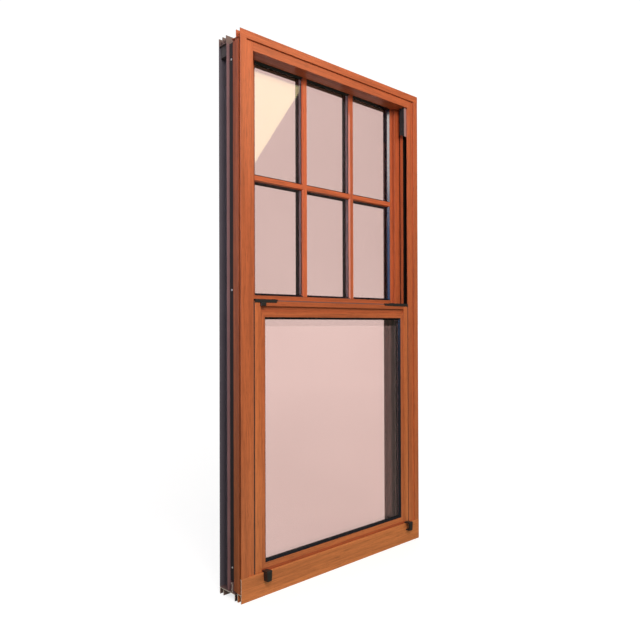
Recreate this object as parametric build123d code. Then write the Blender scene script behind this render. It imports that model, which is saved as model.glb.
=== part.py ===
from build123d import *
import os

# Overall frame. While the window is drawn, x is 0 on its centre line, y runs from the room-side face
# to the outside, and z is 0 at the underside of the sill. All sizes are in millimetres.
frame_width = 914.0
frame_height = 1836.0
wall = 2.0
edge_round = 0.7

# Room-side face of the head and jambs, measured inwards from the frame's outer edge
outer_strip = 26.0
strip_step = 6.0
face_width = 56.5

# Depth stations of the head and jambs
inner_depth = 46.0
break_width = 30.0
head_rib_depth = 21.0
head_front_leg = 40.0
rear_margin = 14.0
reveal_hook = 6.0

# Jamb profile: sash track towards the window, screw chamber and channels towards the opening
jamb_skin = 2.0
jamb_chamber_start = 13.0
jamb_step_depth = 30.0
jamb_step = 3.0
track_start = 12.0
track_end = 31.0
track_floor = 30.0
screen_rib_gap = 0.5
screen_rib_height = 7.5

# Sill profile
plate_thickness = 2.5
plate_height = 78.0
plate_return = 5.0
sill_inner_depth = 21.0
sill_inner_web = 28.0
sill_outer_start = 34.0
sill_outer_web = 22.0
sill_middle_leg = 96.0
sill_flange_height = 24.0
riser_depth = 49.0
riser_height = 54.0
riser_hook = 6.0
joint_gap = 0.3

# Thermal break struts
strut_thickness = 2.5
strut_fin = 5.0
frame_strut_low = 13.0
frame_strut_high = 40.0
head_strut_low = 29.5
head_strut_high = 36.0
sill_strut_low = 4.0
sill_strut_high = 18.0
sash_strut_low = 3.5
sash_strut_high = 20.0

# Insulating glass unit: laminated inner pane, gap, outer pane
inner_pane = 8.0
glass_gap = 11.0
outer_pane = 5.0
glass_bite = 14.5
spacer_width = 8.0
spacer_inset = 2.0

# Gaskets and glazing beads
bead_wall = 1.6
bead_return = 4.0
bead_to_glass = 8.0
bead_foot = 12.0
lower_bead_width = 18.0
gasket_root = 4.5
gasket_lip = 7.5
gasket_start = 0.5
outer_gasket = 2.0
outer_gasket_lip = 1.5

# Fixed upper lite
meeting_gap = 3.0
bead_setback = 12.0
fixed_break = 10.0
fixed_stop_depth = 8.0
fixed_box_width = 32.5
fixed_sash_width = 48.0
meeting_sight = 986.0

# Divider bars of the upper lite
divider_offset = 122.0
divider_face = 16.0
divider_base = 26.0
divider_height = 9.0
divider_wall = 1.4
divider_spacer = 18.0
outer_divider_width = 30.0

# Lower sash
sash_clearance = 5.0
sash_front = 6.0
sash_inner_depth = 18.0
sash_break = 9.0
sash_outer_depth = 14.0
sash_bottom = 30.0
sash_drop = 21.0
stile_face = 25.0
pull_lip = 16.5
pull_recess = 8.0
top_rail_height = 35.0
interlock_rise = 5.0
bottom_rail_show = 8.0
lower_bead_step = 2.0

# Weatherstrips
seal_start = 8.0
seal_width = 3.5
pile_start = 36.0
pile_width = 6.0
bulb_start = 9.0
bulb_width = 6.0
meeting_pile_drop = 17.0

# Tilt latch on each end of the sash's top rail
latch_inset = 0.5
latch_length = 100.0
latch_skirt = 2.0
latch_drop = 5.0
latch_back = 33.0
latch_height = 6.0
latch_round = 9.0
rib_count = 4
rib_pitch = 3.5
rib_width = 1.6
rib_rise = 1.2
rib_inset = 6.0
slide_length = 43.0
slide_drop = 4.0
slide_height = 5.0
tab_inset = 21.0
tab_width = 21.0
tab_reach = 6.0
tab_drop = 16.5
tab_round = 2.0
bolt_reach = 14.0
bolt_width = 12.0
bolt_height = 5.0

# Lift clips over the sill plate
left_clip_inset = 99.0
right_clip_inset = 78.0
clip_width = 21.0
clip_taper = 2.0
clip_crown = 2.5
clip_wall = 3.5
clip_web = 2.5
clip_front = 22.0
clip_clearance = 1.5
clip_drop = 27.0
clip_round = 1.2

# Sash stop in the top of the right track
stop_length = 118.0
stop_reach = 15.5
stop_stem = 14.0
stop_lap = 6.0
stop_slope = 10.0
stop_round = 2.0

# Pads in the outer channels, under the head
pad_height = 38.0
pad_start = 80.0
pad_end = 113.0
pad_skin = 6.0

# Anchor holes through the jambs, for 6 mm masonry screws
anchor_hole = 7.0
anchor_setback = 7.0
anchor_low = 150.0

# Places worked out from the sizes above
half_width = frame_width / 2
glass_thickness = inner_pane + glass_gap + outer_pane
jamb_top = frame_height - outer_strip
head_underside = frame_height - face_width
daylight_half = half_width - face_width
fixed_bottom = meeting_sight - fixed_sash_width
upper_sight_half = daylight_half - fixed_sash_width
sash_inner_back = sash_front + sash_inner_depth
sash_outer_start = sash_inner_back + sash_break
sash_back = sash_outer_start + sash_outer_depth
fixed_face = sash_back + meeting_gap
upper_bead_front = fixed_face + bead_setback
upper_glass = upper_bead_front + bead_to_glass
fixed_outer_start = upper_glass + fixed_break
upper_stop = upper_glass + glass_thickness + outer_gasket
fixed_outer_back = upper_stop + fixed_stop_depth
screen_rib = fixed_outer_back + screen_rib_gap
frame_depth = fixed_outer_back + rear_margin
outer_start = inner_depth + break_width
anchor_depth = frame_depth - anchor_setback
sash_top = meeting_sight - sash_drop
bottom_rail_height = plate_height + bottom_rail_show - sash_bottom
sash_half = daylight_half - sash_clearance
rail_half = sash_half - stile_face
lower_sight_half = rail_half - lower_bead_width
lower_sight_top = sash_top - top_rail_height - lower_bead_width
lower_sight_bottom = sash_bottom + bottom_rail_height + lower_bead_width
lower_bead_front = sash_front + lower_bead_step
lower_glass = lower_bead_front + bead_to_glass
lower_stop = lower_glass + glass_thickness + outer_gasket
upper_sight = (-upper_sight_half, meeting_sight, upper_sight_half, head_underside)
lower_sight = (-lower_sight_half, lower_sight_bottom, lower_sight_half, lower_sight_top)
mitre_reach = fixed_sash_width + glass_bite


def flat(y0, u0, y1, u1):
    """A solid wall of a profile: y is depth, u is measured inwards from the member's outer edge."""
    return Pos((y0 + y1) / 2, (u0 + u1) / 2) * Rectangle(y1 - y0, u1 - u0)


def tube(y0, u0, y1, u1, thickness=wall):
    """A hollow chamber of a profile with one wall thickness all round."""
    return flat(y0, u0, y1, u1) - flat(y0 + thickness, u0 + thickness, y1 - thickness, u1 - thickness)


def outline(*points):
    """A profile from its corner points."""
    return make_face(Polyline(*points, close=True))


def softened(profile, *corners):
    """Round the profile's corners that lie at the given points."""
    picked = [v for v in profile.vertices() if any((v.X - y) ** 2 + (v.Y - u) ** 2 < 1e-6 for y, u in corners)]
    return fillet(picked, edge_round)


def along(side, profile, edge, start, end):
    """Extrude a profile along one side, its u axis pointing inwards from the edge."""
    if side == "left":
        plane = Plane(origin=(edge, 0, end), x_dir=(0, 1, 0), z_dir=(0, 0, -1))
    elif side == "right":
        plane = Plane(origin=(edge, 0, start), x_dir=(0, 1, 0), z_dir=(0, 0, 1))
    elif side == "top":
        plane = Plane(origin=(end, 0, edge), x_dir=(0, 1, 0), z_dir=(-1, 0, 0))
    else:
        plane = Plane(origin=(start, 0, edge), x_dir=(0, 1, 0), z_dir=(1, 0, 0))
    return extrude(plane * profile, amount=end - start, dir=plane.z_dir)


def block(x0, y0, z0, x1, y1, z1):
    """A plain rectangular block between two corners."""
    return Pos((x0 + x1) / 2, (y0 + y1) / 2, (z0 + z1) / 2) * Box(x1 - x0, y1 - y0, z1 - z0)


def cut_mitre(member, x, z, keep, gap=0.0):
    """Cut a member at 45 degrees through a corner, keeping the side that the direction points to."""
    plane = Plane(origin=(x, 0, z), z_dir=(keep[0], 0, keep[1]))
    return split(member, bisect_by=plane.offset(gap / 2), keep=Keep.TOP)


def mitred_side(side, profile, rectangle, gap=0.0):
    """One side of a rectangular ring, mitred at both ends."""
    x0, z0, x1, z1 = rectangle
    if side in ("left", "right"):
        x = x0 if side == "left" else x1
        outward = -1 if side == "left" else 1
        member = along(side, profile, x, z0 - mitre_reach, z1 + mitre_reach)
        member = cut_mitre(member, x, z0, (outward, 1), gap)
        return cut_mitre(member, x, z1, (outward, -1), gap)
    z = z0 if side == "bottom" else z1
    outward = -1 if side == "bottom" else 1
    member = along(side, profile, z, x0 - mitre_reach, x1 + mitre_reach)
    member = cut_mitre(member, x0, z, (1, outward), gap)
    return cut_mitre(member, x1, z, (-1, outward), gap)


def ring(profile, rectangle):
    """A closed rectangular ring with mitred corners, as one piece."""
    sides = [mitred_side(side, profile, rectangle) for side in ("left", "right", "bottom", "top")]
    return sides[0].fuse(*sides[1:]).clean()


def mirrored(shape):
    """The other hand of a piece, across the window's centre line."""
    return mirror(shape, about=Plane.YZ)


def pair(shape):
    """A left piece and its other hand, apart from each other."""
    return Compound(children=[shape, mirrored(shape)])


# Frame profiles
def head_inner_profile():
    """Room-side half of the head: face strips, hollow body, rib and the reveal that carries the glass."""
    reveal_end = upper_bead_front + bead_return
    profile = (
        flat(0, 0, wall, outer_strip)
        + flat(0, outer_strip - wall, strip_step + wall, outer_strip)
        + tube(strip_step, outer_strip - wall, inner_depth, face_width)
        + flat(head_rib_depth, 0, head_rib_depth + wall, outer_strip)
        + flat(inner_depth - wall, face_width - wall, reveal_end, face_width)
        + flat(reveal_end - wall, face_width - reveal_hook, reveal_end, face_width)
    )
    return softened(profile, (0, 0), (0, outer_strip), (strip_step, face_width))


def head_outer_profile():
    """Weather-side half of the head: web, ribs to the opening, hollow glass stop and outer flange."""
    profile = (
        flat(outer_start, outer_strip - wall, frame_depth, outer_strip)
        + flat(outer_start, outer_strip - wall, outer_start + wall, head_front_leg)
        + tube(upper_stop, outer_strip - wall, frame_depth, face_width)
        + flat(outer_start, 0, outer_start + wall, outer_strip)
        + flat(upper_stop, 0, upper_stop + wall, outer_strip)
        + flat(frame_depth - wall, 0, frame_depth, outer_strip)
    )
    return softened(profile, (frame_depth, face_width))


def jamb_inner_profile():
    """Room-side half of a jamb: face strips, stepped chamber and the track that the sash runs beside."""
    profile = (
        flat(0, 0, wall, outer_strip)
        + flat(0, outer_strip - wall, strip_step + wall, outer_strip)
        + flat(strip_step, outer_strip - wall, strip_step + wall, face_width)
        + flat(strip_step, face_width - wall, track_start, face_width)
        + flat(strip_step, track_floor - wall, track_end, track_floor)
        + tube(jamb_chamber_start, jamb_skin, jamb_step_depth, track_floor)
        + tube(jamb_step_depth - wall, jamb_skin + jamb_step, inner_depth, track_floor)
        + tube(track_end, track_floor - wall, inner_depth, face_width)
    )
    return softened(profile, (0, 0), (0, outer_strip), (strip_step, face_width), (inner_depth, face_width))


def jamb_outer_profile():
    """Weather-side half of a jamb: hollow body, fin, flange and the insect screen rib."""
    profile = (
        tube(outer_start, outer_strip - wall, frame_depth, face_width)
        + flat(outer_start, jamb_skin, outer_start + wall, outer_strip)
        + flat(frame_depth - wall, 0, frame_depth, outer_strip)
        + flat(screen_rib, face_width - wall, screen_rib + wall, face_width + screen_rib_height)
    )
    return softened(profile, (frame_depth, face_width))


def sill_inner_profile():
    """Room-side half of the sill: the tall front plate with its turned top, web and leg."""
    profile = (
        flat(0, 0, plate_thickness, plate_height)
        + flat(0, plate_height - wall, plate_return, plate_height)
        + flat(0, sill_inner_web - wall, sill_inner_depth, sill_inner_web)
        + flat(sill_inner_depth - wall, 0, sill_inner_depth, sill_inner_web)
    )
    return softened(profile, (0, 0), (0, plate_height))


def sill_outer_profile():
    """Weather-side half of the sill: web, legs, flange and the upstand behind the sash."""
    return (
        flat(sill_outer_start, sill_outer_web - wall, frame_depth, sill_outer_web)
        + flat(sill_outer_start, 0, sill_outer_start + wall, sill_outer_web)
        + flat(sill_middle_leg, 0, sill_middle_leg + wall, sill_outer_web)
        + flat(frame_depth - wall, 0, frame_depth, sill_flange_height)
        + flat(riser_depth, sill_outer_web - wall, riser_depth + wall, riser_height)
        + flat(riser_depth, riser_height - wall, riser_depth + riser_hook, riser_height)
    )


def strut_profile(y0, y1, u):
    """A thermal break strut: a thin bar with a fin in its middle."""
    middle = (y0 + y1) / 2
    half_fin = strut_thickness / 2
    return flat(y0, u, y1, u + strut_thickness) + flat(middle - half_fin, u, middle + half_fin, u + strut_fin)


# Frame members
def coped_head(profile):
    """A head extrusion over the full width, cut away below its web where the jambs stand."""
    head = along("top", profile, frame_height, -half_width, half_width)
    jamb_room = block(-half_width, 0, head_underside, joint_gap - daylight_half, frame_depth, jamb_top)
    return head - jamb_room - mirrored(jamb_room)


def left_jamb_inner():
    """The jamb stands on the sill's web and is cut back behind the sill's front plate."""
    jamb = along("left", jamb_inner_profile(), -half_width, sill_inner_web, jamb_top)
    return jamb - block(-half_width, 0, sill_inner_web, -daylight_half, plate_return, plate_height)


def left_jamb_outer():
    """The weather-side jamb half stands on the sill's outer web, drilled for its anchors."""
    jamb = along("left", jamb_outer_profile(), -half_width, sill_outer_web, jamb_top)
    jamb -= block(
        -half_width, frame_depth - wall, sill_outer_web, -daylight_half, frame_depth, sill_flange_height
    )
    rib_end = -daylight_half + screen_rib_height
    jamb -= block(-daylight_half, outer_start, head_underside, rib_end, frame_depth, jamb_top)
    drill = Rot(0, 90, 0) * Cylinder(anchor_hole / 2, 2 * frame_depth)
    for height in (anchor_low, frame_height - anchor_low):
        jamb -= Pos(-half_width, anchor_depth, height) * drill
    return jamb


def frame_breaks():
    """All struts that tie the frame's two halves together, without touching each other."""
    struts = []
    for u in (frame_strut_low, frame_strut_high):
        profile = strut_profile(inner_depth, outer_start, u)
        left = along("left", profile, -half_width, riser_height + joint_gap, jamb_top)
        struts += [left, mirrored(left)]
    for u in (head_strut_low, head_strut_high):
        profile = strut_profile(inner_depth, outer_start, u)
        struts.append(along("top", profile, frame_height, -daylight_half, daylight_half))
    for u in (sill_strut_low, sill_strut_high):
        profile = strut_profile(sill_inner_depth, sill_outer_start, u)
        struts.append(along("bottom", profile, 0, -half_width, half_width))
    return Compound(children=struts)


# Fixed upper lite
def fixed_inner_profile():
    """Room-side member of the fixed lite: hollow body, then the set-back bead towards the glass."""
    bead_end = upper_bead_front + bead_return
    profile = (
        tube(fixed_face, 0, upper_glass, fixed_box_width)
        + flat(upper_bead_front, fixed_box_width - wall, upper_bead_front + wall, fixed_sash_width)
        + flat(upper_bead_front, fixed_sash_width - wall, bead_end, fixed_sash_width)
    )
    return softened(profile, (fixed_face, fixed_box_width), (upper_bead_front, fixed_sash_width))


def fixed_outer_profile():
    """Weather-side member of the fixed lite: hollow body and the outer stop of the glass."""
    profile = (
        tube(fixed_outer_start, 0, fixed_outer_back, fixed_box_width)
        + tube(upper_stop, fixed_box_width - wall, fixed_outer_back, fixed_sash_width)
    )
    return softened(profile, (fixed_outer_back, fixed_sash_width))


def fixed_left_stile():
    """The room-side stile, from the meeting rail's mitre up to the head's underside."""
    stile = along("left", fixed_inner_profile(), -daylight_half, fixed_bottom - mitre_reach, head_underside)
    return cut_mitre(stile, -daylight_half, fixed_bottom, (-1, 1))


def fixed_meeting_rail():
    """The room-side meeting rail, mitred to both stiles."""
    rail = along("bottom", fixed_inner_profile(), fixed_bottom, -daylight_half, daylight_half)
    rail = cut_mitre(rail, -daylight_half, fixed_bottom, (1, -1))
    return cut_mitre(rail, daylight_half, fixed_bottom, (-1, -1))


def outer_left_stile():
    """The weather-side stile runs on past the meeting rail, down to the sill's web."""
    return along("left", fixed_outer_profile(), -daylight_half, sill_outer_web, head_underside)


def outer_meeting_rail():
    """The weather-side meeting rail, coped at both ends to the stiles' body and stop."""
    rail = along("bottom", fixed_outer_profile(), fixed_bottom, -daylight_half, daylight_half)
    rail_top = fixed_bottom + fixed_sash_width
    stile_body = fixed_box_width - daylight_half
    body_room = block(-daylight_half, fixed_outer_start, fixed_bottom, stile_body, fixed_outer_back, rail_top)
    stop_room = block(-daylight_half, upper_stop, fixed_bottom, -upper_sight_half, fixed_outer_back, rail_top)
    room = body_room + stop_room
    return rail - room - mirrored(room)


def fixed_breaks():
    """Struts between the two halves of the fixed lite's stiles and meeting rail."""
    struts = []
    for u in (sash_strut_low, sash_strut_high):
        profile = strut_profile(upper_glass, fixed_outer_start, u)
        left = along("left", profile, -daylight_half, fixed_bottom + fixed_sash_width, head_underside)
        struts += [left, mirrored(left)]
        struts.append(along("bottom", profile, fixed_bottom, -upper_sight_half, upper_sight_half))
    return Compound(children=struts)


# Glazing that both lites share
def pane(sight, y0, y1):
    """A sheet of glass that reaches past the sight line by the bite on every side."""
    x0, z0, x1, z1 = sight
    return block(x0 - glass_bite, y0, z0 - glass_bite, x1 + glass_bite, y1, z1 + glass_bite)


def edge_spacer(sight, glass_front):
    """The bar that keeps the panes apart, just inside the glass edge."""
    y0 = glass_front + inner_pane
    profile = flat(y0, -spacer_width - spacer_inset, y0 + glass_gap, -spacer_inset)
    return ring(profile, sight)


def gaskets(sight, bead_front):
    """The sloping inner gasket with its soft lip, and the plain outer gasket."""
    bead_end = bead_front + bead_return
    glass_front = bead_front + bead_to_glass
    lip_start = bead_front + gasket_start
    inner = outline(
        (glass_front, -gasket_root), (bead_end, -gasket_root), (bead_end, 0), (lip_start, 0),
        (lip_start, edge_round), (glass_front - edge_round, gasket_lip), (glass_front, gasket_lip),
    )
    glass_back = glass_front + glass_thickness
    outer = flat(glass_back, -gasket_root, glass_back + outer_gasket, outer_gasket_lip)
    return [ring(inner, sight), ring(outer, sight)]


# Divider bars
def divider_skin(root, tip):
    """The outline of a bar whose sides narrow from its foot on the glass to its face."""
    return outline(
        (root, -divider_base / 2), (tip, -divider_face / 2), (tip, divider_face / 2), (root, divider_base / 2)
    )


def divider_core(root, tip):
    """The hollow of a bar, open towards the glass."""
    core_tip = tip + divider_wall
    half_base = divider_base / 2 - divider_wall
    half_face = divider_face / 2 - divider_wall
    return outline((root, -half_base), (core_tip, -half_face), (core_tip, half_face), (root, half_base))


def divider_bars(profile):
    """Two upright bars and the cross bar, over the whole sight size of the upper lite."""
    x0, z0, x1, z1 = upper_sight
    uprights = [along("left", profile, x, z0, z1) for x in (-divider_offset, divider_offset)]
    return uprights, along("bottom", profile, (z0 + z1) / 2, x0, x1)


def inner_divider_bars(gasket):
    """The room-side bars: the uprights run through and the cross bar is scribed to them."""
    root = upper_glass
    tip = upper_glass - divider_height
    uprights, cross = divider_bars(divider_skin(root, tip))
    upright_cores, cross_core = divider_bars(divider_core(root, tip))
    cross_pieces = cross - cross_core - uprights[0] - uprights[1] - gasket
    return [bar - core - gasket for bar, core in zip(uprights, upright_cores)], cross_pieces


def divider_lattice(skin, core, gasket):
    """Hollow bars welded into one lattice and trimmed against the gasket."""
    uprights, cross = divider_bars(skin)
    upright_cores, cross_core = divider_bars(core)
    lattice = uprights[0] + uprights[1] + cross
    return lattice - upright_cores[0] - upright_cores[1] - cross_core - gasket


# Lower sash
def top_rail_profile():
    """The top rail: a pull lip flush with the stiles, then a recessed face down to the bead."""
    recess_face = sash_front + pull_recess
    profile = (
        tube(sash_front, 0, sash_inner_back, pull_lip)
        + tube(recess_face, pull_lip - wall, sash_inner_back, top_rail_height)
    )
    return softened(profile, (sash_front, 0), (sash_front, pull_lip))


def bead_profile():
    """A snap-in glazing bead: face, return at the gasket and foot against the sash member."""
    back = lower_bead_front + bead_return
    profile = (
        flat(lower_bead_front, -lower_bead_width, lower_bead_front + bead_wall, 0)
        + flat(lower_bead_front, -bead_wall, back, 0)
        + flat(lower_bead_front, -lower_bead_width, lower_bead_front + bead_foot, bead_wall - lower_bead_width)
    )
    return softened(profile, (lower_bead_front, 0))


def glazing_beads():
    """Four beads round the lower glass, with a hairline joint at each mitre."""
    sides = ("left", "right", "bottom", "top")
    return Compound(children=[mitred_side(side, bead_profile(), lower_sight, joint_gap) for side in sides])


def sash_stile(y0, y1, front_corners):
    """A stile over the sash's full height."""
    profile = softened(tube(y0, 0, y1, stile_face), *front_corners)
    return along("left", profile, -sash_half, sash_bottom, sash_top)


def outer_rails():
    """The weather-side halves of the sash's rails; the top one has an upstand at the meeting rail."""
    upstand = flat(sash_back - wall, -interlock_rise, sash_back, wall)
    top = tube(sash_outer_start, 0, sash_back, top_rail_height) + upstand
    bottom = tube(sash_outer_start, 0, sash_back, bottom_rail_height)
    rails = [
        along("top", top, sash_top, -rail_half, rail_half),
        along("bottom", bottom, sash_bottom, -rail_half, rail_half),
    ]
    return Compound(children=rails)


def sash_breaks():
    """Struts between the two halves of the sash's stiles and rails."""
    struts = []
    for u in (sash_strut_low, sash_strut_high):
        profile = strut_profile(sash_inner_back, sash_outer_start, u)
        left = along("left", profile, -sash_half, sash_bottom, sash_top)
        struts += [left, mirrored(left)]
        struts.append(along("bottom", profile, sash_bottom, -rail_half, rail_half))
        struts.append(along("top", profile, sash_top, -rail_half, rail_half))
    return Compound(children=struts)


def outer_stop():
    """The bronze stop round the outside of the lower glass."""
    profile = tube(lower_stop, -lower_bead_width, sash_back, 0, bead_wall)
    return ring(profile, lower_sight)


def weatherstrips():
    """Side seals and piles at the jambs, the meeting rail pile and the bulb under the sash."""
    seal = block(-daylight_half, seal_start, sash_bottom, -sash_half, seal_start + seal_width, sash_top)
    side = block(-daylight_half, pile_start, sash_bottom, -sash_half, pile_start + pile_width, sash_top)
    meeting_top = sash_top - meeting_pile_drop
    meeting = block(-rail_half, sash_back, meeting_top - pile_width, rail_half, fixed_face, meeting_top)
    bulb = block(-rail_half, bulb_start, sill_inner_web, rail_half, bulb_start + bulb_width, sash_bottom)
    return Compound(children=[seal, mirrored(seal), side, mirrored(side), meeting, bulb])


# Hardware
def tilt_latch():
    """A latch on the top rail's left end: ribbed body, front skirt and the bolt into the track."""
    x0 = -sash_half + latch_inset
    x1 = x0 + latch_length
    front = sash_front - latch_skirt
    body = block(x0, front, sash_top, x1, latch_back, sash_top + latch_height)
    body = fillet(body.edges().filter_by(Axis.Z).group_by(Axis.X)[-1], latch_round)
    skirt = block(x0, front, sash_top - latch_drop, x1 - latch_round, sash_front, sash_top)
    bolt_middle = (track_start + track_end) / 2
    bolt = block(
        x0 - bolt_reach, bolt_middle - bolt_width / 2, sash_top + joint_gap,
        x0, bolt_middle + bolt_width / 2, sash_top + joint_gap + bolt_height,
    )
    latch = body + skirt + bolt
    for count in range(rib_count):
        rib_left = x1 - latch_round - count * rib_pitch
        latch += block(
            rib_left - rib_width, front + rib_inset, sash_top + latch_height,
            rib_left, latch_back - rib_inset, sash_top + latch_height + rib_rise,
        )
    return latch


def latch_slide():
    """The slide that stands out past the right latch's inner end, drawn on the left."""
    x0 = -sash_half + latch_inset + latch_length
    slide = block(
        x0 - latch_round, sash_front - latch_skirt, sash_top,
        x0 + slide_length, sash_front + slide_height, sash_top + slide_height,
    )
    skirt = block(
        x0 - latch_round, sash_front - latch_skirt, sash_top - slide_drop,
        x0 + slide_length, sash_front, sash_top,
    )
    return slide + skirt


def thumb_tab():
    """The tab that hangs from the left latch's skirt."""
    front = sash_front - latch_skirt
    tab_left = -sash_half + latch_inset + tab_inset
    tab = block(
        tab_left, front - tab_reach, sash_top - tab_drop,
        tab_left + tab_width, sash_front - joint_gap, sash_top - latch_drop,
    )
    return fillet(tab.edges().group_by(Axis.Y)[0], tab_round)


def lift_clip():
    """A tapered hook over the sill plate, fixed to the bottom rail and closed by a web on its left side."""
    arm_under = plate_height + clip_clearance
    arm_top = arm_under + clip_wall
    crown = arm_top + clip_crown
    foot = plate_height - clip_drop
    front = -clip_front
    back = -clip_clearance
    half = clip_width / 2
    hook = outline(
        (sash_front, arm_under), (sash_front, arm_top), (front + clip_wall, crown), (front, arm_top),
        (front, foot + clip_wall / 2), (front + clip_wall / 2, foot), (back, foot), (back, foot + clip_wall),
        (front + clip_wall, foot + clip_wall), (front + clip_wall, arm_under),
    )
    side_web = flat(front + clip_wall / 2, foot + clip_wall / 2, back, arm_top)
    clip = along("bottom", hook, 0, -half, half) + along("bottom", side_web, 0, -half, clip_web - half)
    facing_room = Plane(origin=(0, sash_front, 0), x_dir=(1, 0, 0), z_dir=(0, -1, 0))
    taper = outline((-half, crown), (half, crown), (half - clip_taper, foot), (clip_taper - half, foot))
    clip = clip & extrude(facing_room * taper, amount=sash_front + clip_front)
    return fillet(clip.edges().group_by(Axis.Y)[0], clip_round)


def left_sash_stop():
    """A block at the top of the sash track: a stem in the track and a head that laps its rear rib."""
    z0 = head_underside - stop_length
    stem = block(
        -daylight_half - stop_stem, track_start + joint_gap, z0 + stop_slope,
        -daylight_half, track_end - joint_gap, head_underside,
    )
    head_profile = outline(
        (track_start + joint_gap, z0), (track_end + stop_lap, z0 + stop_slope),
        (track_end + stop_lap, head_underside), (track_start + joint_gap, head_underside),
    )
    plane = Plane(origin=(-daylight_half, 0, 0), x_dir=(0, 1, 0), z_dir=(1, 0, 0))
    head = extrude(plane * head_profile, amount=stop_reach, dir=(1, 0, 0))
    head = fillet(head.edges().filter_by(Axis.Z).group_by(Axis.X)[-1], stop_round)
    return stem + head


def corner_pads():
    """Two pads in the jambs' outer channels, tight under the head."""
    web_face = -half_width + outer_strip - wall
    return pair(block(-half_width + pad_skin, pad_start, jamb_top - pad_height, web_face, pad_end, jamb_top))


# Every piece under its own name
upper_gaskets = gaskets(upper_sight, upper_bead_front)
uprights, cross_pieces = inner_divider_bars(upper_gaskets[0])
upper_glass_back = upper_glass + glass_thickness
outer_tip = upper_glass_back + divider_height
outer_skin = flat(upper_glass_back, -outer_divider_width / 2, outer_tip, outer_divider_width / 2)
outer_core = flat(
    upper_glass_back, divider_wall - outer_divider_width / 2,
    outer_tip - divider_wall, outer_divider_width / 2 - divider_wall,
)
gap_front = upper_glass + inner_pane
gap_skin = flat(gap_front, -divider_spacer / 2, gap_front + glass_gap, divider_spacer / 2)
gap_core = flat(
    gap_front + divider_wall, divider_wall - divider_spacer / 2,
    gap_front + glass_gap - divider_wall, divider_spacer / 2 - divider_wall,
)

inner_stile = sash_stile(sash_front, sash_inner_back, [(sash_front, 0), (sash_front, stile_face)])
outer_stile = sash_stile(sash_outer_start, sash_back, [(sash_back, 0), (sash_back, stile_face)])
bottom_inner = softened(
    tube(sash_front, 0, sash_inner_back, bottom_rail_height), (sash_front, bottom_rail_height)
)
latch = tilt_latch()
clip = lift_clip()

pieces = {
    "head_inner": coped_head(head_inner_profile()),
    "head_outer": coped_head(head_outer_profile()),
    "sill_inner": along("bottom", sill_inner_profile(), 0, -half_width, half_width),
    "sill_outer": along("bottom", sill_outer_profile(), 0, -half_width, half_width),
    "left_jamb_inner": left_jamb_inner(),
    "left_jamb_outer": left_jamb_outer(),
    "right_jamb_inner": mirrored(left_jamb_inner()),
    "right_jamb_outer": mirrored(left_jamb_outer()),
    "frame_thermal_breaks": frame_breaks(),
    "upper_left_stile": fixed_left_stile(),
    "upper_right_stile": mirrored(fixed_left_stile()),
    "upper_meeting_rail": fixed_meeting_rail(),
    "upper_outer_stiles": pair(outer_left_stile()),
    "upper_outer_meeting_rail": outer_meeting_rail(),
    "upper_thermal_breaks": fixed_breaks(),
    "upper_inner_pane": pane(upper_sight, upper_glass, upper_glass + inner_pane),
    "upper_outer_pane": pane(upper_sight, upper_glass_back - outer_pane, upper_glass_back),
    "upper_spacer": edge_spacer(upper_sight, upper_glass),
    "upper_gaskets": Compound(children=upper_gaskets),
    "left_divider_bar": uprights[0],
    "right_divider_bar": uprights[1],
    "cross_divider_bars": cross_pieces,
    "outer_divider_bars": divider_lattice(outer_skin, outer_core, upper_gaskets[1]),
    "divider_spacer_bars": divider_lattice(gap_skin, gap_core, upper_gaskets[0]),
    "lower_left_stile": inner_stile,
    "lower_right_stile": mirrored(inner_stile),
    "lower_top_rail": along("top", top_rail_profile(), sash_top, -rail_half, rail_half),
    "lower_bottom_rail": along("bottom", bottom_inner, sash_bottom, -rail_half, rail_half),
    "lower_outer_stiles": pair(outer_stile),
    "lower_outer_rails": outer_rails(),
    "lower_outer_stop": outer_stop(),
    "lower_glazing_beads": glazing_beads(),
    "lower_thermal_breaks": sash_breaks(),
    "lower_inner_pane": pane(lower_sight, lower_glass, lower_glass + inner_pane),
    "lower_outer_pane": pane(lower_sight, lower_stop - outer_gasket - outer_pane, lower_stop - outer_gasket),
    "lower_spacer": edge_spacer(lower_sight, lower_glass),
    "lower_gaskets": Compound(children=gaskets(lower_sight, lower_bead_front)),
    "left_tilt_latch": latch + thumb_tab(),
    "right_tilt_latch": mirrored(latch + latch_slide()),
    "left_lift_clip": Pos(left_clip_inset - half_width, 0, 0) * clip,
    "right_lift_clip": Pos(half_width - right_clip_inset, 0, 0) * mirrored(clip),
    "right_sash_stop": mirrored(left_sash_stop()),
    "corner_pads": corner_pads(),
    "weatherstrips": weatherstrips(),
}

# The origin goes to the middle of the sill's outer flange face
to_origin = Pos(0, -frame_depth, -sill_flange_height / 2)
os.makedirs("parts", exist_ok=True)
for name, piece in pieces.items():
    export_step(to_origin * piece, f"parts/{name}.step")
    print(name, "volume", round(sum(solid.volume for solid in piece.solids())))
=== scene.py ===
# %% [markdown]
# # A single-hung impact window, dressed in Blender
# The window arrives as a set of solid extrusions, panes, gaskets and latches that are already at their real
# size and place. This lesson gives them their finishes, adds the screw heads, and sets up the camera and a
# plain studio. Everything is in metres: x runs to the right as seen from the room, y from the room to the
# outside, and z up.

# %% Load the window
import bpy
import math
import numpy as np
from mathutils import Matrix, Vector


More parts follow.
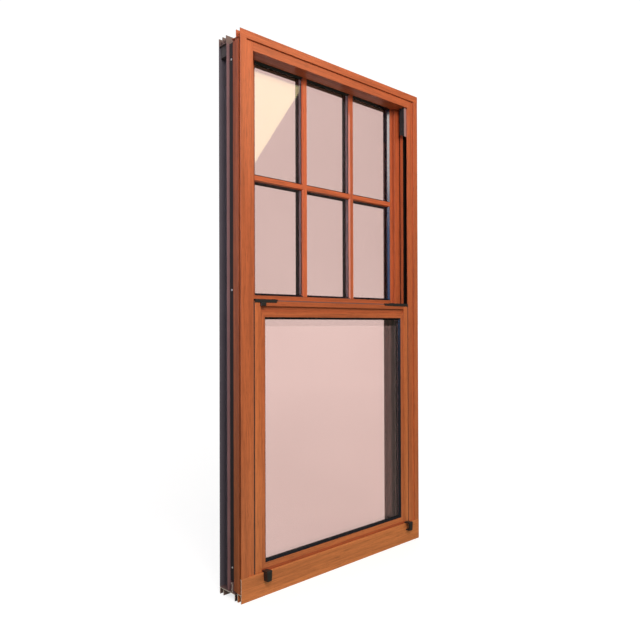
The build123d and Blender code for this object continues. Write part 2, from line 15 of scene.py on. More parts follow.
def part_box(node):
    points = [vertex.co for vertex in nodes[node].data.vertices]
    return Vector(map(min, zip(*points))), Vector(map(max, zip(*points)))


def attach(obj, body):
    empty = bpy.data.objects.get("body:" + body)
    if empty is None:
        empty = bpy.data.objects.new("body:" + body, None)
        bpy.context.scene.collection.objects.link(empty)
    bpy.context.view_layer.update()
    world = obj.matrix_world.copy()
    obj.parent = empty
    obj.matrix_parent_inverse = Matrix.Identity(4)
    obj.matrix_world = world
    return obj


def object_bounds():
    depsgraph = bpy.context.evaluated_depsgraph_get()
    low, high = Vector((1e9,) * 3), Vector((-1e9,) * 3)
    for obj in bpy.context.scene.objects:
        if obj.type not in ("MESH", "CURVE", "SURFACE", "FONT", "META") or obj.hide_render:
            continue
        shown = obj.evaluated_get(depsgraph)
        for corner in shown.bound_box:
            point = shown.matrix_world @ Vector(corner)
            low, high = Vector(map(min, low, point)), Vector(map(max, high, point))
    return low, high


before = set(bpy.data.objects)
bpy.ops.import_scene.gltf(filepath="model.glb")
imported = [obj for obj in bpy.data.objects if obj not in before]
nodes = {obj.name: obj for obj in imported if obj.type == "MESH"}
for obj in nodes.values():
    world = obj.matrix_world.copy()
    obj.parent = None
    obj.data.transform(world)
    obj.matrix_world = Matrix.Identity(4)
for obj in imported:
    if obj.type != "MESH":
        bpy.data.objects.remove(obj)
solid_box = [list(corner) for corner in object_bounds()]
print("pieces:", len(nodes), "box:", [[round(v, 3) for v in corner] for corner in solid_box])

# %% [markdown]
# ## The camera
# The picture was taken from the room side, from the left and at about half the window's height. A camera can
# be aimed with a tracking constraint, but a matrix built from three directions says exactly where it looks:
# forward from a compass angle and a small tilt, right as the level direction across it, and up across both.
# A slight lean rolls right and up about the view. The focal length is known in pixels, and the sensor's width
# turns it into millimetres.

# %% Camera
CAMERA_PLACE = (-1.6736, -1.7543, 0.8735)
COMPASS_DEGREES, TILT_DEGREES, LEAN_DEGREES = 46.272, 0.443, -0.18
FOCAL_PIXELS, PICTURE_PIXELS = 636.6, 640
SENSOR_MILLIMETRES = 36.0


def linked(name, data):
    """A new object in the scene that shows the given data."""
    thing = bpy.data.objects.new(name, data)
    bpy.context.scene.collection.objects.link(thing)
    return thing


def stand(place, across, upward, back):
    """The matrix of an object at a place whose own x, y and z run along three directions."""
    return Matrix.Translation(place) @ Matrix((across, upward, back)).transposed().to_4x4()


compass, tilt, lean = (math.radians(angle) for angle in (COMPASS_DEGREES, TILT_DEGREES, LEAN_DEGREES))
forward = Vector((math.cos(compass) * math.cos(tilt), math.sin(compass) * math.cos(tilt), math.sin(tilt)))
level = Vector((math.sin(compass), -math.cos(compass), 0.0))
right = math.cos(lean) * level + math.sin(lean) * level.cross(forward)

camera_data = bpy.data.cameras.new("camera")
camera_data.sensor_width = SENSOR_MILLIMETRES
camera_data.lens = FOCAL_PIXELS / PICTURE_PIXELS * SENSOR_MILLIMETRES
camera = linked("camera", camera_data)
camera.matrix_world = stand(CAMERA_PLACE, right, right.cross(forward), -forward)
bpy.context.scene.camera = camera
bpy.context.scene.view_settings.view_transform = "Standard"
print("lens:", round(camera_data.lens, 2), "mm")

# %% [markdown]
# ## A small toolbox for finishes
# Every finish is a node tree that ends in one Principled shader. Three helpers keep the cells short: one starts
# a material and returns its tree, one adds a node, sets its options and wires its inputs, and one wires the
# shader. A value that is the same all over goes on the shader's own socket; only what varies is wired.

# %% Helpers for node trees
def new_finish(name, **sockets):
    """A material with one Principled shader whose plain sockets hold the given values."""
    finish = bpy.data.materials.new(name)
    finish.use_nodes = True
    shader = finish.node_tree.nodes["Principled BSDF"]
    for socket, value in sockets.items():
        shader.inputs[socket.replace("_", " ")].default_value = value
    return finish, finish.node_tree, shader


def add(tree, kind, inputs=(), **options):
    """A node of a kind; options are its settings, inputs are pairs of socket and value or socket and wire."""
    node = tree.nodes.new(kind)
    for option, value in options.items():
        setattr(node, option, value)
    for socket, value in dict(inputs).items():
        if isinstance(value, bpy.types.NodeSocket):
            tree.links.new(value, node.inputs[socket])
        else:
            node.inputs[socket].default_value = value
    return node


def feed(tree, shader, **wires):
    """Wire the shader's sockets; a socket's name has underscores for its spaces."""
    for socket, wire in wires.items():
        tree.links.new(wire, shader.inputs[socket.replace("_", " ")])


# %% [markdown]
# The next helpers each stand for one node or two. A Mix node keeps sockets of its own for each kind of data, so
# the numbers of its two inputs and of its output are listed by kind. Smooth noise seldom leaves the middle of
# its range, so most ramps only span that middle.

# %% Helpers for places, numbers and colours
MIX_SOCKETS = {"RGBA": (6, 7, 2), "VECTOR": (4, 5, 1)}
NOISE_SPAN = (0.3, 0.7)
NEARLY_ALONG = 0.9


def maths(tree, operation, one, other=0.0):
    """One number or wire worked with another by a named operation."""
    return add(tree, "ShaderNodeMath", {0: one, 1: other}, operation=operation).outputs[0]


def inside(tree, wire, middle, reach):
    """1 where a number is within reach of a middle value, and 0 elsewhere."""
    return add(tree, "ShaderNodeMath", {0: wire, 1: middle, 2: reach}, operation="COMPARE").outputs[0]


def object_place(tree):
    """Object coordinates, which here are metres in the window's own frame."""
    return add(tree, "ShaderNodeTexCoord").outputs["Object"]


def stretched(tree, scale):
    """Object coordinates scaled by a different amount on each axis."""
    return add(tree, "ShaderNodeMapping", {"Vector": object_place(tree), "Scale": scale}).outputs["Vector"]


def parts(tree, vector):
    """The X, Y and Z of a vector wire."""
    return add(tree, "ShaderNodeSeparateXYZ", {"Vector": vector}).outputs


def facing(tree):
    """The X, Y and Z of the face's normal."""
    return parts(tree, add(tree, "ShaderNodeTexCoord").outputs["Normal"])


def faces_along(tree, axis):
    """1 where the face's normal points along an axis, either way, and 0 elsewhere."""
    return maths(tree, "GREATER_THAN", maths(tree, "ABSOLUTE", facing(tree)[axis]), NEARLY_ALONG)


def noise(tree, place, lumps, detail=2.0, roughness=0.5, distortion=0.0):
    """Smooth noise from 0 to 1 at a number of lumps a metre."""
    return add(tree, "ShaderNodeTexNoise", {
        "Vector": place, "Scale": lumps, "Detail": detail, "Roughness": roughness, "Distortion": distortion,
    }).outputs["Fac"]


def ramp(tree, wire, stops):
    """A colour ramp through (position, grey or colour) stops."""
    node = add(tree, "ShaderNodeValToRGB", {"Fac": wire})
    while len(node.color_ramp.elements) < len(stops):
        node.color_ramp.elements.new(0.5)
    for element, (position, colour) in zip(node.color_ramp.elements, stops):
        element.position = position
        element.color = (*colour, 1.0) if isinstance(colour, tuple) else (colour, colour, colour, 1.0)
    return node.outputs["Color"]


def between(tree, wire, ends, span=NOISE_SPAN):
    """A ramp from one grey or colour to another while the wire runs over a span."""
    return ramp(tree, wire, list(zip(span, ends)))


def mixed(tree, factor, one, other, blend="MIX", kind="RGBA"):
    """One colour or wire blended with another by a factor."""
    node = add(tree, "ShaderNodeMix", {"Factor": factor}, data_type=kind, blend_type=blend)
    first, second, result = MIX_SOCKETS[kind]
    for socket, value in ((node.inputs[first], one), (node.inputs[second], other)):
        if isinstance(value, bpy.types.NodeSocket):
            tree.links.new(value, socket)
        else:
            socket.default_value = (*value, 1.0)
    return node.outputs[result]


def bumped(tree, shader, height, strength, distance):
    """Tilt the shading normal by a height wire; distance is the relief in metres."""
    bump = add(tree, "ShaderNodeBump", {"Height": height, "Strength": strength, "Distance": distance})
    feed(tree, shader, Normal=bump.outputs["Normal"])


# %% [markdown]
# ## Wood-grain coating on aluminium
# The room side looks like stained wood, but it is a coating: a powder layer with a printed grain, smooth to
# the touch and a little glossy. A photograph of wood could be wrapped on, but noise that is stretched along
# each extrusion never repeats and needs no picture. Four layers are enough: broad figure, fine lines, short
# dark flecks and pores. On top of the grain, a tint by height is painted light: browner and yellower at the
# foot, redder at the head. Some bars also have a tone of their own. The lighter, yellower tones of the sill and
# the lower sash stiles are painted light, and the darker tone of the bottom rail is painted shade.

# %% Values of the grain
ACROSS, DEPTH, UPRIGHT = 0, 1, 2
FIGURE = ((0.37, 0.084, 0.025), (0.54, 0.128, 0.040), (0.64, 0.160, 0.052))
FIGURE_SPAN = (0.25, 0.5, 0.75)
FIGURE_NOISE = {"lumps": 46.0, "detail": 5.0, "roughness": 0.6, "distortion": 0.5}
LONG, SHORT = 0.03, 0.06
DARK_LAYERS = {
    "lines": {"share": 0.8, "shrink": LONG, "lumps": 330.0, "detail": 3.0, "roughness": 0.7,
              "ends": (0.70, 1.0), "span": (0.36, 0.56)},
    "flecks": {"share": 0.45, "shrink": SHORT, "lumps": 330.0, "detail": 2.0, "roughness": 0.5,
               "ends": (0.52, 1.0), "span": (0.34, 0.44)},
    "pores": {"share": 0.6, "shrink": LONG, "lumps": 1500.0, "detail": 1.0, "roughness": 0.5,
              "ends": (0.42, 1.0), "span": (0.30, 0.38)},
}
PAINTED_LIGHT_SCALE = (0.55, 0.55, 0.55)
PAINTED_LIGHT_BY_HEIGHT = ((0.0, (0.90, 1.0, 1.0)), (0.5, (0.92, 0.92, 0.92)), (0.95, (1.0, 0.88, 0.88)))
GRAIN_ROUGHNESS = (0.52, 0.42)
GRAIN_SPECULAR = 0.42
SATIN_COAT, GLOSSY_COAT = (0.16, 0.25), (1.0, 0.06)
SAW_CUT = ((0.70, 0.64, 0.50), (0.92, 0.86, 0.72))
NO_TINT = (1.0, 1.0, 1.0)


# %% Grain along a bar or round a rectangle
def grain_place(tree, along, shrink):
    """Object coordinates shrunk along one axis, so that noise is drawn out along it."""
    stretch = [1.0, 1.0, 1.0]
    stretch[along] = shrink
    return stretched(tree, stretch)


def grain_round(tree, low, high, shrink):
    """The upright place beside a rectangle and the across place above and below it, changing on the mitres.

    With hx and hz half the rectangle's sides, a point is above or below where |z - middle| - hz > |x| - hx.
    """
    place = parts(tree, object_place(tree))
    past_side = maths(tree, "SUBTRACT", maths(tree, "ABSOLUTE", place["X"]), (high[0] - low[0]) / 2)
    from_middle = maths(tree, "SUBTRACT", place["Z"], (high[2] + low[2]) / 2)
    past_end = maths(tree, "SUBTRACT", maths(tree, "ABSOLUTE", from_middle), (high[2] - low[2]) / 2)
    above = maths(tree, "GREATER_THAN", past_end, past_side)
    beside_place, above_place = (grain_place(tree, along, shrink) for along in (UPRIGHT, ACROSS))
    return mixed(tree, above, beside_place, above_place, kind="VECTOR")


def grain_colour(tree, drawn, figure, tone):
    """The figure's stains times the three dark layers and the painted light by height; the pores come back too.
    """
    stains = [tuple(float(part) for part in np.array(stain) * tone) for stain in FIGURE]
    colour = ramp(tree, figure, list(zip(FIGURE_SPAN, stains)))
    layers = {}
    for name, layer in DARK_LAYERS.items():
        lumps = noise(tree, drawn(layer["shrink"]), layer["lumps"], layer["detail"], layer["roughness"])
        layers[name] = between(tree, lumps, layer["ends"], layer["span"])
        colour = mixed(tree, layer["share"], colour, layers[name], "MULTIPLY")
    # painted light: a tint by height, browner and yellower at the foot and redder at the head
    height = parts(tree, stretched(tree, PAINTED_LIGHT_SCALE))["Z"]
    return mixed(tree, 1.0, colour, ramp(tree, height, PAINTED_LIGHT_BY_HEIGHT), "MULTIPLY"), layers["pores"]


# %% [markdown]
# Some places have no grain. It does not reach into the sash tracks, which are a dull near black. The divider
# bars are glossier than the rest; their upward slopes are near black as painted shade, and a near-black band
# runs along their feet. The sill's saw cuts were never coated, so they show pale bare metal.

# %% Places without grain
TRACK_X, TRACK_X_REACH = 0.4204, 0.0196
TRACK_Y, TRACK_Y_REACH = -0.0683, 0.0383
FOOT_BAND_DEPTH = 0.0022
UPWARD_SLOPE = 0.3
NEAR_BLACK = (0.012, 0.009, 0.008)
bar_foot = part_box("cross_divider_bars")[1][1]


def in_track(tree):
    """1 on the walls of the sash tracks, found by their distance from the centre line and their depth."""
    place = parts(tree, object_place(tree))
    from_side = inside(tree, maths(tree, "ABSOLUTE", place["X"]), TRACK_X, TRACK_X_REACH)
    return maths(tree, "MULTIPLY", from_side, inside(tree, place["Y"], TRACK_Y, TRACK_Y_REACH))


def foot_band_or_painted_shade_top(tree):
    """1 on a bar's sides close to its foot and on slopes that face upwards, which take painted shade, and 0
    elsewhere.
    """
    depth = parts(tree, object_place(tree))["Y"]
    top = maths(tree, "GREATER_THAN", facing(tree)["Z"], UPWARD_SLOPE)
    return maths(tree, "MAXIMUM", top, maths(tree, "GREATER_THAN", depth, bar_foot - FOOT_BAND_DEPTH))


# %% Wood-grain finish
def wood_grain(name, along=None, around=None, tone=NO_TINT, bare_ends=False, dark=None, coat=SATIN_COAT):
    """Four layers of drawn-out noise along an axis, or round a rectangle, with painted light by height from
    brown to red.

    Where dark, a function that returns a mask, says 1, the finish is a dull near black instead.
    """
    weight, coat_roughness = coat
    finish, tree, shader = new_finish(
        name, Coat_Weight=weight, Coat_Roughness=coat_roughness, Specular_IOR_Level=GRAIN_SPECULAR)

    def drawn(shrink):
        return grain_round(tree, *around, shrink) if around else grain_place(tree, along, shrink)

    figure = noise(tree, drawn(LONG), **FIGURE_NOISE)
    colour, pores = grain_colour(tree, drawn, figure, tone)
    if dark:
        mask = dark(tree)
        colour = mixed(tree, mask, colour, NEAR_BLACK)
        grained = maths(tree, "SUBTRACT", 1.0, mask)
        feed(tree, shader, Coat_Weight=maths(tree, "MULTIPLY", grained, weight),
             Specular_IOR_Level=maths(tree, "MULTIPLY", grained, GRAIN_SPECULAR))
    if bare_ends:
        saw_marks = between(tree, noise(tree, object_place(tree), lumps=900.0), SAW_CUT)
        colour = mixed(tree, faces_along(tree, along), colour, saw_marks)
    feed(tree, shader, Base_Color=colour, Roughness=between(tree, figure, GRAIN_ROUGHNESS))
    relief = mixed(tree, 0.5, noise(tree, object_place(tree), lumps=700.0), pores)
    bumped(tree, shader, relief, strength=0.08, distance=0.0004)
    return finish


# the bars' upward slopes turn near black as painted shade, and a near-black band runs along their feet
bar_look = {"tone": (1.22, 1.08, 1.0), "dark": foot_band_or_painted_shade_top, "coat": GLOSSY_COAT}
grain_across = wood_grain("wood_grain_across", ACROSS)
grain_top_rail = wood_grain("wood_grain_top_rail", ACROSS, tone=(0.90, 0.86, 0.84))
# the bottom rail's darker, redder tone is painted shade
bottom_rail_grain_painted_shade = wood_grain("bottom_rail_wood_grain_painted_shade", ACROSS, tone=(0.74, 0.54, 0.48))
grain_upright = wood_grain("wood_grain_upright", UPRIGHT, tone=(1.0, 0.92, 0.86))
# the lower sash stiles' lighter, yellower tone is painted light from below
sash_grain_painted_light = wood_grain("sash_wood_grain_painted_light", UPRIGHT, tone=(1.16, 1.24, 1.20))
grain_jamb = wood_grain("wood_grain_jamb", UPRIGHT, dark=in_track)
# the sill's lighter, yellower tone is painted light from below; its saw cuts are bare metal
sill_grain_painted_light = wood_grain("sill_wood_grain_painted_light", ACROSS, tone=(1.20, 1.36, 1.34), bare_ends=True)
grain_beads = wood_grain("wood_grain_beads", around=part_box("lower_glazing_beads"))
bar_across = wood_grain("bar_across", ACROSS, **bar_look)
bar_upright = wood_grain("bar_upright", UPRIGHT, **bar_look)
print("wood-grain finishes made, with the bars' feet at", round(bar_foot, 4), "m")

# %% [markdown]
# ## Dark bronze coating
# The weather side has a plain dark bronze powder coat. Powder melts into a skin with a faint orange-peel
# texture, so the gloss is soft and a little uneven. In the jambs' side channels the part in front of the middle
# fin is lighter as painted light, and the part behind it cooler and darker as painted shade; the back face is
# plain. The sill's cut ends are bare here too.

# %% Bronze finish
BRONZE = ((0.150, 0.088, 0.084), (0.185, 0.112, 0.106))
BRONZE_ROUGHNESS = (0.48, 0.38)
BARE_METAL = (0.85, 0.79, 0.66)
FIN_BACK_Y = -0.0335
PAINTED_LIGHT_FRONT_OF_FIN, PAINTED_SHADE_BACK_OF_FIN = (1.45, 1.27, 1.38), (0.62, 0.90, 1.15)
OUTWARD_FACE = 0.5


def painted_channel_light_and_shade(tree):
    """Painted light before the fin and painted shade behind it, and none on faces that look outside."""
    behind = maths(tree, "GREATER_THAN", parts(tree, object_place(tree))["Y"], FIN_BACK_Y)
    on_back = maths(tree, "GREATER_THAN", facing(tree)["Y"], OUTWARD_FACE)
    return mixed(tree, on_back, mixed(tree, behind, PAINTED_LIGHT_FRONT_OF_FIN, PAINTED_SHADE_BACK_OF_FIN), NO_TINT)


def bronze_coat(name, bare_ends=False, with_channel_light_and_shade=False):
    """A dark brown with slow drift and fine peel relief, with bare cut ends or painted light and shade in the
    channels if asked.
    """
    finish, tree, shader = new_finish(name, Coat_Weight=0.15, Coat_Roughness=0.3)
    drift = noise(tree, object_place(tree), lumps=9.0, detail=4.0)
    speck = between(tree, noise(tree, object_place(tree), lumps=1300.0, detail=1.0), (0.86, 1.0))
    colour = mixed(tree, 1.0, between(tree, drift, BRONZE), speck, "MULTIPLY")
    if bare_ends:
        colour = mixed(tree, faces_along(tree, ACROSS), colour, BARE_METAL)
    if with_channel_light_and_shade:
        colour = mixed(tree, 1.0, colour, painted_channel_light_and_shade(tree), "MULTIPLY")
    feed(tree, shader, Base_Color=colour, Roughness=between(tree, drift, BRONZE_ROUGHNESS))
    bumped(tree, shader, noise(tree, object_place(tree), lumps=900.0), strength=0.12, distance=0.0003)
    return finish


bronze = bronze_coat("bronze_coat")
bronze_sill = bronze_coat("bronze_sill", bare_ends=True)
# the jambs' side channels carry painted light before the fin and painted shade behind it
jamb_bronze_painted_light = bronze_coat("jamb_bronze_painted_light", with_channel_light_and_shade=True)
print("bronze finishes: plain, sill and jamb")

# %% [markdown]
# ## Black plastics and rubber
# The blacks differ mostly in gloss: the struts are glass-filled nylon with a dull drawn surface, the gaskets
# are smooth rubber that catches the sky, the latches are moulded with a fine spark texture, and the weather
# seals are a dull woven pile. The outer divider bars look near black as well and share the nylon's finish. The
# sash stop is moulded too, with a rosy painted highlight on its front and back, and the corner pads are grey
# foam.

# %% Black finishes
BLACK_SPAN = (0.35, 0.65)
BLACK_RELIEF = 0.0002
MOULDED = {"tones": ((0.010, 0.009, 0.009), (0.018, 0.016, 0.015)), "lumps": 1400.0, "strength": 0.25}
ROSY_PAINTED_HIGHLIGHT = (0.30, 0.17, 0.17)


def black_finish(name, tones, lumps, gloss, strength, front_back_highlight=None):
    """Noise between two tones; the same noise sets the roughness and the relief; a painted highlight goes on
    front and back.
    """
    finish, tree, shader = new_finish(name)
    speck = noise(tree, object_place(tree), lumps)
    colour = between(tree, speck, tones, BLACK_SPAN)
    if front_back_highlight:
        colour = mixed(tree, faces_along(tree, DEPTH), colour, front_back_highlight)
    feed(tree, shader, Base_Color=colour, Roughness=between(tree, speck, gloss, BLACK_SPAN))
    bumped(tree, shader, speck, strength, BLACK_RELIEF)
    return finish


nylon = black_finish("black_nylon", ((0.012, 0.011, 0.012), (0.022, 0.020, 0.021)),
                     lumps=600.0, gloss=(0.5, 0.62), strength=0.3)
rubber = black_finish("black_rubber", ((0.003, 0.004, 0.008), (0.005, 0.006, 0.011)),
                      lumps=120.0, gloss=(0.16, 0.22), strength=0.02)
moulded = black_finish("moulded_black", gloss=(0.36, 0.5), **MOULDED)
# the sash stop's rosy front and back are a painted highlight
painted_highlight_moulding = black_finish("moulded_painted_highlight", gloss=(0.6, 0.8), front_back_highlight=ROSY_PAINTED_HIGHLIGHT, **MOULDED)
pile = black_finish("woven_pile", ((0.010, 0.010, 0.009), (0.030, 0.028, 0.026)),
                    lumps=1800.0, gloss=(0.8, 0.95), strength=0.8)
foam = black_finish("grey_foam", ((0.060, 0.048, 0.050), (0.085, 0.070, 0.072)),
                    lumps=1600.0, gloss=(0.85, 0.95), strength=0.6)
print("blacks: nylon, rubber, moulded, moulded with painted highlight, pile, and the grey foam of the corner pads")

# %% [markdown]
# ## Glass and its spacer
# Impact glass is two panes with a sealed gap; the room-side pane is a sandwich with a tough clear film. At
# this angle it looks pinkish beige. A fully transmitting shader with a tint does that, and the tint is nearly
# constant, with only a slow drift, because real glass is even. The edge spacer is rolled from grey strip and
# the spacer bars between the panes from pale strip, whose blue tint is a painted reflection of the sky.

# %% Glass and spacer finishes
STREAKS = (300.0, 20.0, 300.0)
STRIP_ROUGHNESS = (0.48, 0.38)


def tinted_glass(name, tints):
    """Transmission with a tint that drifts slowly between two close colours."""
    finish, tree, shader = new_finish(name, Transmission_Weight=1.0, IOR=1.5, Roughness=0.0)
    drift = noise(tree, object_place(tree), lumps=1.6, detail=1.0)
    feed(tree, shader, Base_Color=between(tree, drift, tints))
    return finish


def spacer_strip(name, tones):
    """Rolled strip with fine streaks, which also vary its gloss."""
    finish, tree, shader = new_finish(name)
    streak = noise(tree, stretched(tree, STREAKS), lumps=1.0)
    feed(tree, shader, Base_Color=between(tree, streak, tones),
         Roughness=between(tree, streak, STRIP_ROUGHNESS))
    return finish


laminated = tinted_glass("laminated_glass", ((0.77, 0.555, 0.520), (0.75, 0.535, 0.500)))
outer_glass = tinted_glass("outer_glass", ((0.97, 0.96, 0.95), (0.95, 0.94, 0.93)))
edge_strip = spacer_strip("edge_strip", ((0.16, 0.14, 0.18), (0.20, 0.18, 0.22)))
# pale strip whose blue tint is a painted reflection of the sky
pale_strip_painted_reflection = spacer_strip("pale_strip_painted_reflection", ((0.72, 0.76, 0.92), (0.80, 0.84, 0.98)))
print("glass: laminated and outer, with grey and pale spacers")

# %% [markdown]
# ## Hand out the finishes
# A finish is put in a piece's material slot; the mesh itself stays as it came. Upright members get the upright
# grain, rails and the head and sill the grain that runs across, and the glazing beads the grain that turns at
# the mitres.

# %% Assign finishes
finish_of = {
    grain_across: "head_inner upper_meeting_rail",
    grain_top_rail: "lower_top_rail",
    bottom_rail_grain_painted_shade: "lower_bottom_rail",
    grain_upright: "upper_left_stile upper_right_stile",
    sash_grain_painted_light: "lower_left_stile lower_right_stile",
    bar_across: "cross_divider_bars",
    bar_upright: "left_divider_bar right_divider_bar",
    grain_jamb: "left_jamb_inner right_jamb_inner",
    sill_grain_painted_light: "sill_inner",
    grain_beads: "lower_glazing_beads",
    bronze: "head_outer upper_outer_meeting_rail lower_outer_rails lower_outer_stop upper_outer_stiles "
            "lower_outer_stiles",
    jamb_bronze_painted_light: "left_jamb_outer right_jamb_outer",
    bronze_sill: "sill_outer",
    nylon: "frame_thermal_breaks upper_thermal_breaks lower_thermal_breaks outer_divider_bars",
    rubber: "upper_gaskets lower_gaskets",
    moulded: "left_tilt_latch right_tilt_latch left_lift_clip right_lift_clip",
    painted_highlight_moulding: "right_sash_stop",
    foam: "corner_pads",
    pile: "weatherstrips",
    laminated: "upper_inner_pane lower_inner_pane",
    outer_glass: "upper_outer_pane lower_outer_pane",
    edge_strip: "upper_spacer lower_spacer",
    pale_strip_painted_reflection: "divider_spacer_bars",
}
for finish, names in finish_of.items():
    for name in names.split():
        nodes[name].data.materials.clear()
        nodes[name].data.materials.append(finish)
print("finished pieces:", sum(len(names.split()) for names in finish_of.values()), "of", len(nodes))

# %% [markdown]
# ## Screws
# Pan-head screws hold the struts in the side channels, and smaller ones hold the latches. A head is a surface
# of two parameters, the distance from its middle and the angle round it: a flattened dome with a rounded rim
# and a cross pressed into it. One grid of points serves for all screws of a size, and each copy is only moved
# to its place.

# %% Screw heads
RINGS, SPOKES = 15, 48
RIM_POWER, DOME_POWER = 4, 0.6
CROSS_HALF, CROSS_SIDE_SLOPE = 0.17, 0.05
CROSS_REACH, CROSS_END_SLOPE = 0.62, 0.08
CROSS_DEPTH = 0.5


def head_points(axis, radius, rise):
    """A grid of points on a head that faces along x or z.

    Its height is h = rise * (1 - t^4)^0.6 less the cross, with t = r / radius. The cross ends
    where, in radii, the lesser of |u| and |v| is CROSS_HALF or the greater is CROSS_REACH, and its walls slope
    down from there. It is CROSS_DEPTH of the rise deep.
    """
    angles = np.linspace(0.0, 2 * math.pi, SPOKES + 1)[:-1]
    t, angle = np.meshgrid(np.linspace(0.0, 1.0, RINGS), angles, indexing="ij")
    u, v = t * np.cos(angle), t * np.sin(angle)
    arm = np.clip((CROSS_HALF - np.minimum(abs(u), abs(v))) / CROSS_SIDE_SLOPE, 0.0, 1.0)
    arm *= np.clip((CROSS_REACH - np.maximum(abs(u), abs(v))) / CROSS_END_SLOPE, 0.0, 1.0)
    h = rise * np.clip(1.0 - t ** RIM_POWER, 0.0, 1.0) ** DOME_POWER - CROSS_DEPTH * rise * arm
    out = np.array(axis, float)
    side = np.cross(out, (0.0, 1.0, 0.0))
    up = np.cross(out, side)
    return radius * u[..., None] * side + radius * v[..., None] * up + h[..., None] * out


def grid_faces(copies):
    """The quads of several grids of rings and spokes, each closed round its axis."""
    ring, spoke = np.meshgrid(np.arange(RINGS - 1), np.arange(SPOKES), indexing="ij")
    after = (spoke + 1) % SPOKES
    near, far = ring * SPOKES, (ring + 1) * SPOKES
    quads = np.stack([near + spoke, far + spoke, far + after, near + after], -1)
    starts = np.arange(copies)[:, None, None] * (RINGS * SPOKES)
    return (quads.reshape(1, -1, 4) + starts).reshape(-1, 4)


def screw_heads(name, places, axis, radius, rise, finish):
    """One piece with a head at each of several places, all facing along an axis."""
    points = np.array(places, float)[:, None, None, :] + head_points(axis, radius, rise)[None]
    mesh = bpy.data.meshes.new(name)
    mesh.from_pydata(points.reshape(-1, 3).tolist(), [], grid_faces(len(places)).tolist())
    mesh.shade_smooth()
    mesh.materials.append(finish)
    piece = linked(name, mesh)
    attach(piece, "root")
    return piece


def worn_metal(name, tones, gloss):
    """Bare metal whose tone and roughness vary together."""
    finish, tree, shader = new_finish(name, Metallic=1.0)
    wear = noise(tree, object_place(tree), lumps=800.0, detail=3.0)
    feed(tree, shader, Base_Color=between(tree, wear, tones), Roughness=between(tree, wear, gloss))
    return finish


# %% Put the screws in place
CHANNEL_X, CHANNEL_Y = 0.444, -0.0530
CHANNEL_HEIGHTS = (0.084, 0.9885, 1.744)
CHANNEL_SCREW = {"radius": 0.0036, "rise": 0.0022}
LATCH_END_X, LATCH_SCREW_Y = 0.394, -0.0985
LATCH_REACHES = (0.018, 0.060)
LATCH_SCREW = {"radius": 0.0030, "rise": 0.0010}
THUMB_RIB_RISE = 0.0012

screw_metal = worn_metal("screw_metal", ((0.42, 0.41, 0.40), (0.66, 0.65, 0.63)), gloss=(0.42, 0.26))
latch_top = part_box("left_tilt_latch")[1][2] - THUMB_RIB_RISE
screws = []
for hand, word in ((-1, "left"), (1, "right")):
    in_channel = [(hand * CHANNEL_X, CHANNEL_Y, z) for z in CHANNEL_HEIGHTS]
    screws.append(screw_heads(word + "_channel_screws", in_channel, (hand, 0, 0),
                              finish=screw_metal, **CHANNEL_SCREW))
    on_latch = [(hand * (LATCH_END_X - reach), LATCH_SCREW_Y, latch_top) for reach in LATCH_REACHES]
    screws.append(screw_heads(word + "_latch_screws", on_latch, (0, 0, 1),
                              finish=screw_metal, **LATCH_SCREW))
print("screw groups:", len(screws), "faces each:", [len(piece.data.polygons) for piece in screws])

# %% [markdown]
# ## Studio
# A pale floor and soft light. The sky is a colour by direction: white behind the window, so that the glass is
# seen against white, dim blue behind it to the left, dim in the room and green below the horizon outside.

# %% Sky
LEFT_SIDE = ((0.22, 0.20, 0.18), (0.42, 0.40, 0.40))
FRONT_SIDE = ((0.34, 0.35, 0.24), (0.36, 0.35, 0.34))
RIGHT_SIDE = ((0.16, 0.15, 0.11), (0.20, 0.18, 0.16))
DIM_BLUE, BRIGHT_WHITE = (0.25, 0.28, 0.36), (1.05, 1.05, 1.05)
GREEN_BELOW = (0.12, 0.125, 0.06)

world = bpy.data.worlds.new("studio_sky")
bpy.context.scene.world = world
world.use_nodes = True
sky_tree = world.node_tree
direction = parts(sky_tree, add(sky_tree, "ShaderNodeTexCoord").outputs["Generated"])


def step_along(axis, start, end):
    """0 where the direction's component is below start, 1 above end, smooth between."""
    return add(sky_tree, "ShaderNodeMapRange",
               {"Value": direction[axis], "From Min": start, "From Max": end},
               interpolation_type="SMOOTHSTEP").outputs["Result"]


height = step_along("Z", -0.3, 0.4)
left_side = mixed(sky_tree, height, *LEFT_SIDE)
front_side = mixed(sky_tree, height, *FRONT_SIDE)
right_side = mixed(sky_tree, height, *RIGHT_SIDE)
room = mixed(sky_tree, step_along("X", -0.7, -0.2), left_side, front_side)
room = mixed(sky_tree, step_along("X", 0.2, 0.7), room, right_side)
outside = mixed(sky_tree, step_along("X", -0.45, -0.1), DIM_BLUE, BRIGHT_WHITE)
outside = mixed(sky_tree, step_along("Z", -0.25, -0.05), GREEN_BELOW, outside)
sky = mixed(sky_tree, step_along("Y", 0.02, 0.26), room, outside)
sky_tree.links.new(sky, sky_tree.nodes["Background"].inputs["Color"])
print("sky: white behind, dim blue behind on the left, dim room, green below")

# %% [markdown]
# The floor glows a little, and more with distance, so that it runs into the white behind without an edge. It
# takes the window's shadow but sends no light back onto it, and does not show in its gloss.

# %% Floor
FLOOR_REACH = 400.0
FLOOR_GREYS = (0.34, 0.36)
GLOW_START, GLOW_END = 1.0, 7.0
GLOW_NEAR, GLOW_FAR = 0.74, 0.88

floor_height = solid_box[0][2]
floor_mesh = bpy.data.meshes.new("floor")
corners = [(x * FLOOR_REACH, y * FLOOR_REACH, floor_height) for x, y in ((-1, -1), (1, -1), (1, 1), (-1, 1))]
floor_mesh.from_pydata(corners, [], [(0, 1, 2, 3)])
floor = linked("floor", floor_mesh)
floor.visible_diffuse = False
floor.visible_glossy = False


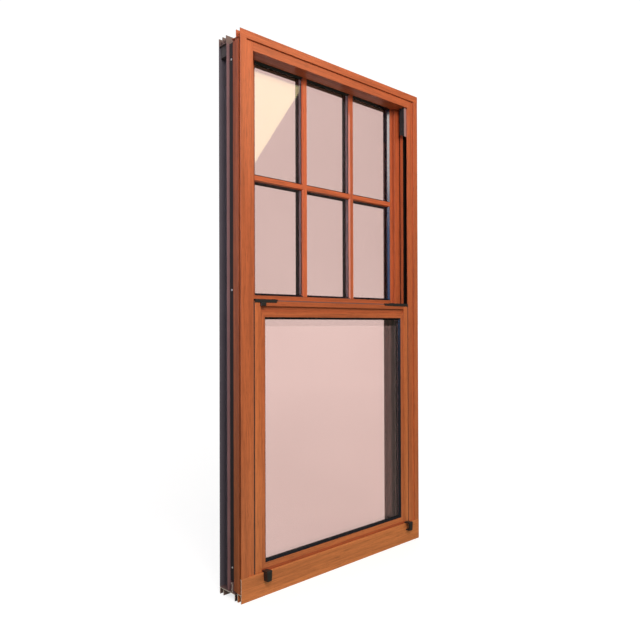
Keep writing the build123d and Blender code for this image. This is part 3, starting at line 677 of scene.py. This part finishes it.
def glowing_floor(name):
    """A matt pale grey that glows by its distance from the window."""
    finish, tree, shader = new_finish(name, Roughness=0.9, Emission_Color=(1.0, 1.0, 1.0, 1.0))
    cloud = noise(tree, object_place(tree), lumps=0.6)
    away = add(tree, "ShaderNodeVectorMath", {0: object_place(tree)}, operation="LENGTH").outputs["Value"]
    glow = add(tree, "ShaderNodeMapRange", {"Value": away, "From Min": GLOW_START, "From Max": GLOW_END,
                                            "To Min": GLOW_NEAR, "To Max": GLOW_FAR})
    feed(tree, shader, Base_Color=between(tree, cloud, FLOOR_GREYS), Emission_Strength=glow.outputs["Result"])
    return finish


floor_mesh.materials.append(glowing_floor("pale_floor"))
print("floor at", round(floor_height, 4), "m")

# %% [markdown]
# ## Lights
# The key stands in front on the left and high, so the top of the frame is brighter than its foot and the side
# channel is lit too. A low fill lifts the sill. The cream box is turned on its corner, and its mirror image
# makes the bright triangle in the upper left pane; it is the one light that also shows through glass. The last
# two give only gloss: blue in the gaskets and a pale glint on the left slopes of the divider bars.

# %% Soft boxes
def soft_light(name, place, aim, along, size, watts, colour, diffuse=True, glossy=True, through=False):
    """A rectangular soft light that faces along aim, with its width lying in the direction of along."""
    data = bpy.data.lights.new(name, "AREA")
    data.shape = "RECTANGLE"
    data.size, data.size_y = size
    data.energy, data.color = watts, colour
    back = -Vector(aim).normalized()
    across = (Vector(along) - Vector(along).dot(back) * back).normalized()
    light = linked(name, data)
    light.matrix_world = stand(place, across, back.cross(across), back)
    light.visible_diffuse, light.visible_glossy, light.visible_transmission = diffuse, glossy, through


soft_light("key", place=(-1.5, -2.8, 2.9), aim=(1.5, 2.7, -1.8), along=(1, -0.5, 0),
           size=(2.0, 1.6), watts=118.0, colour=(1.0, 0.94, 0.90))
soft_light("low_fill", place=(0.0, -0.7, 0.05), aim=(0, 1, 0.1), along=(1, 0, 0),
           size=(1.4, 0.25), watts=1.5, colour=(0.8, 1.0, 0.72), glossy=False)
soft_light("cream", place=(1.47, -2.5, 2.86), aim=(0, 1, 0), along=(0.570, 0, 0.822),
           size=(1.4, 0.9), watts=16.0, colour=(1.0, 0.91, 0.50), through=True)
soft_light("blue", place=(-2.6, -2.7, 1.55), aim=(2.6, 2.7, -0.4), along=(1, -1, 0),
           size=(0.9, 1.3), watts=36.0, colour=(0.20, 0.42, 1.0), diffuse=False)
soft_light("glint", place=(-2.4, -0.40, 1.9), aim=(1, 0.1, 0), along=(0, 1, 0),
           size=(1.2, 2.6), watts=26.0, colour=(1.0, 0.93, 0.95), diffuse=False)
print("lights: key, low fill, cream, blue and glint")
